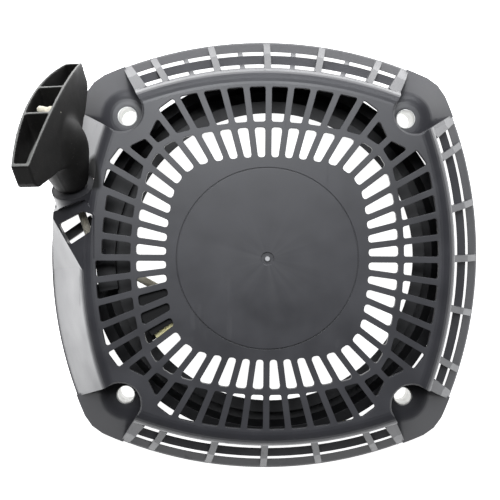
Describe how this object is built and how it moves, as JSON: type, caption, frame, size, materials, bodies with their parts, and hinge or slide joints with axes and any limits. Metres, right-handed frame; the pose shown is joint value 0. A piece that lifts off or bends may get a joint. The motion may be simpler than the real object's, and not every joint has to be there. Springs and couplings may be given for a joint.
{
  "type": "recoil starter",
  "caption": "Pull-rope recoil starter: square slotted shroud with louvred sides, rope reel with spring and swinging pawls, and a T-shaped pull grip.",
  "frame": {"origin": "where the crank axis meets the mounting plane, the middle of the bolt square", "axes": "+Z away from the engine along the crank axis, +Y up on the face, +X towards the side opposite the rope outlet"},
  "size_m": [0.2228, 0.2206, 0.1055],
  "materials": {
    "shroud_plastic": "black glass-filled moulding, fine grain",
    "inner_plastic": "black moulding",
    "grip_plastic": "satin black moulding",
    "zinc_steel": "zinc plated",
    "hard_steel": "case-hardened stamping",
    "spring_steel": "blued spring steel",
    "yellow_zinc": "yellow passivated zinc",
    "rope": "braided nylon"
  },
  "bodies": {
    "shroud": {"housing": "shroud_plastic", "air_ring": "inner_plastic", "mounting_sleeves": "zinc_steel", "centre_bush": "zinc_steel", "recoil_spring": "spring_steel", "spring_keeper": "zinc_steel", "friction_spring": "spring_steel", "centre_washer": "zinc_steel", "centre_screw": "zinc_steel", "rope_guard": "inner_plastic", "wear_plate": "yellow_zinc", "rope_lead": "rope", "rope_eyelet": "yellow_zinc", "rope_run": "rope", "outlet_ferrule": "zinc_steel"},
    "reel": {"reel": "inner_plastic", "rope_coil": "rope", "reel_knot": "rope", "pawl_springs": "spring_steel"},
    "guide_plate": {"guide_plate": "yellow_zinc"},
    "pawl_a": {"pawl_a": "hard_steel"},
    "pawl_b": {"pawl_b": "hard_steel"},
    "grip": {"handle": "grip_plastic", "knot_washer": "zinc_steel", "handle_rope": "rope", "handle_knot": "rope"}
  },
  "joints": [
    {"name": "reel_spin", "type": "hinge", "parent": "shroud", "child": "reel", "pos_m": [0, 0, 0.03], "axis": [0, 0, -1], "range_deg": [0, 1350], "stiffness_Nm_per_rad": 0.02, "springref_deg": -687.55},
    {"name": "grip_pull", "type": "slide", "parent": "shroud", "child": "grip", "axis": [-0.1799, 0.7672, 0.6157], "range_m": [0, 0.934]},
    {"name": "plate_turn", "type": "hinge", "parent": "reel", "child": "guide_plate", "pos_m": [0, 0, 0.011], "axis": [0, 0, 1], "range_deg": [0, 25], "stiffness_Nm_per_rad": 0.05},
    {"name": "pawl_a_swing", "type": "hinge", "parent": "reel", "child": "pawl_a", "pos_m": [0.01905, 0.011, 0.016], "axis": [0, 0, 1], "range_deg": [0, 35.01]},
    {"name": "pawl_b_swing", "type": "hinge", "parent": "reel", "child": "pawl_b", "pos_m": [-0.01905, -0.011, 0.016], "axis": [0, 0, 1], "range_deg": [0, 35.01]}
  ],
  "couplings": [
    {"joint": "grip_pull", "follows": "reel_spin", "m_per_rad": 0.0396},
    {"joint": "pawl_a_swing", "follows": "plate_turn", "ratio": 1.4},
    {"joint": "pawl_b_swing", "follows": "plate_turn", "ratio": 1.4}
  ]
}
